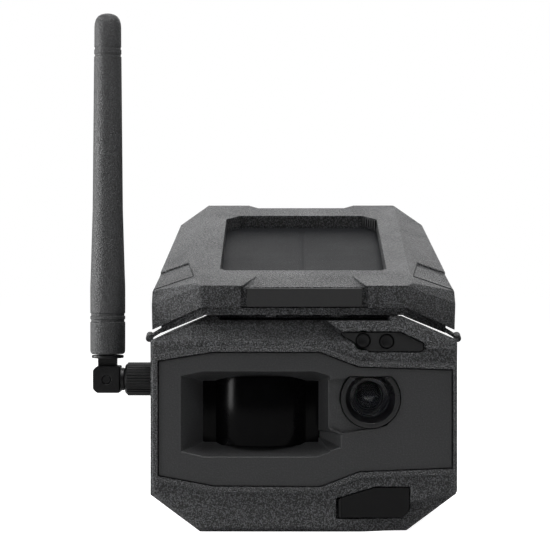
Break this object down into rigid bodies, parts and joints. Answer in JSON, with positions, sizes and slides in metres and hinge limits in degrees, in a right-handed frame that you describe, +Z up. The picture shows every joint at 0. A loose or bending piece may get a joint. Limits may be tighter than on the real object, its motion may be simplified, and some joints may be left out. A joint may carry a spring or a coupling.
{
  "type": "trail camera",
  "caption": "Cellular trail camera with a faceted plastic body, a wide sensor window, a lens, a tilting solar head and a folding whip antenna.",
  "frame": {"origin": "middle of the flat base the body stands on", "axes": "+Z up, -Y out of the front with the window and lens, +X to the right seen from the front"},
  "size_m": [0.1246, 0.1023, 0.1723],
  "materials": {
    "textured_plastic": "spark-textured moulded black plastic",
    "satin_plastic": "smooth satin black plastic",
    "antenna_plastic": "satin black moulding",
    "whip_rubber": "matte black rubber",
    "dark_window": "glossy infrared-passing black",
    "lens_glass": "coated dark glass",
    "solar_glass": "clear laminate",
    "solar_cell": "dark silicon with fine grid lines",
    "soft_rubber": "smooth matte rubber",
    "board": "green circuit board",
    "component_plastic": "moulded component black",
    "card_plastic": "white card",
    "battery_wrap": "shrink wrap",
    "steel": "plain steel",
    "brass": "turned brass"
  },
  "bodies": {
    "camera_body": {"front_frame": "textured_plastic", "front_bezel": "satin_plastic", "sensor_window": "dark_window", "lens_hood_ring": "satin_plastic", "lens_cover_glass": "lens_glass", "lens_barrel": "satin_plastic", "lens_front_element": "lens_glass", "image_sensor": "component_plastic", "camera_board": "board", "led_board": "board", "pir_sensor": "steel", "ir_led_1": "lens_glass", "ir_led_2": "lens_glass", "ir_led_3": "lens_glass", "ir_led_4": "lens_glass", "button_panel": "satin_plastic", "button_switch_1": "component_plastic", "button_switch_2": "component_plastic", "button_board": "board", "port_flap_pin": "steel", "port_socket": "component_plastic", "rear_housing": "textured_plastic", "body_gasket": "soft_rubber", "neck_gasket": "soft_rubber", "bottom_insert": "brass", "back_insert": "brass", "body_screw_1": "steel", "body_screw_2": "steel", "body_screw_3": "steel", "body_screw_4": "steel", "main_board": "board", "cellular_modem": "steel", "battery_pack": "battery_wrap", "card_board": "board", "card_socket": "component_plastic", "sim_card": "card_plastic", "memory_card": "component_plastic", "hinge_pin": "steel", "antenna_jack": "brass"},
    "solar_head": {"head_shell": "textured_plastic", "nameplate": "satin_plastic", "solar_cover": "solar_glass", "solar_cell_left": "solar_cell", "solar_cell_right": "solar_cell", "solar_backing": "board", "charge_board": "board", "head_base": "textured_plastic", "head_screw_1": "steel", "head_screw_2": "steel", "head_screw_3": "steel", "head_screw_4": "steel"},
    "power_key": {"power_button": "soft_rubber"},
    "test_key": {"test_button": "soft_rubber"},
    "port_cover": {"port_flap": "soft_rubber"},
    "nut": {"antenna_nut": "antenna_plastic"},
    "elbow": {"antenna_elbow": "antenna_plastic", "elbow_pin": "steel"},
    "whip": {"whip_base": "antenna_plastic", "whip_sleeve": "whip_rubber", "whip_element": "brass"}
  },
  "joints": [
    {"name": "head_hinge", "type": "hinge", "parent": "camera_body", "child": "solar_head", "pos_m": [0, 0.0472, 0.0968], "axis": [-1, 0, 0], "range_deg": [0, 75]},
    {"name": "power_press", "type": "slide", "parent": "camera_body", "child": "power_key", "axis": [0, 1, 0], "range_m": [0, 0.0008], "stiffness_N_per_m": 400, "springref_m": -0.0002},
    {"name": "test_press", "type": "slide", "parent": "camera_body", "child": "test_key", "axis": [0, 1, 0], "range_m": [0, 0.0008], "stiffness_N_per_m": 400, "springref_m": -0.0002},
    {"name": "port_hinge", "type": "hinge", "parent": "camera_body", "child": "port_cover", "pos_m": [0.0123, -0.0484, 0.0075], "axis": [0, 0, -1], "range_deg": [0, 85]},
    {"name": "nut_turn", "type": "hinge", "parent": "camera_body", "child": "nut", "pos_m": [-0.0552, -0.03, 0.0487], "axis": [-1, 0, 0], "continuous": true},
    {"name": "antenna_swivel", "type": "hinge", "parent": "camera_body", "child": "elbow", "pos_m": [-0.0661, -0.03, 0.0487], "axis": [-1, 0, 0], "continuous": true},
    {"name": "antenna_fold", "type": "hinge", "parent": "elbow", "child": "whip", "pos_m": [-0.0661, -0.03, 0.0487], "axis": [0, -1, 0], "range_deg": [0, 90]}
  ]
}
